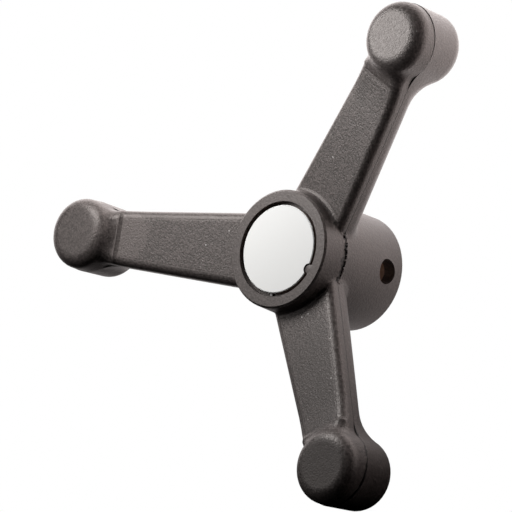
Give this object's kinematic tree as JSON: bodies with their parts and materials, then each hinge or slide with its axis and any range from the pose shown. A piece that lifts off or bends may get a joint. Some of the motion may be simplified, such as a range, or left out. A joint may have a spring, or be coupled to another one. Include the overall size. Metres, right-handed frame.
{
  "type": "tension handwheel",
  "caption": "Dished moulded handwheel: arms with round knobs round a hub that has a metal bush, a cross hole and a bare centre disc in its ring.",
  "frame": {"origin": "centre of the hub's flat rear face, on the spindle's axis", "axes": "+Z along the spindle's axis towards the ring and the centre disc; +Y along the middle of one arm; +X to the right of that arm seen from the front"},
  "size_m": [0.1584, 0.1404, 0.0506],
  "materials": {
    "shell_plastic": "dark warm grey, semi-gloss borders with a spark-eroded panel on each arm",
    "bush_metal": "turned",
    "disc_plastic": "pale grey, smooth and bare"
  },
  "bodies": {
    "root": {"front_shell": "shell_plastic", "rear_shell": "shell_plastic", "hub_bush": "bush_metal", "centre_disc": "disc_plastic"}
  },
  "joints": []
}
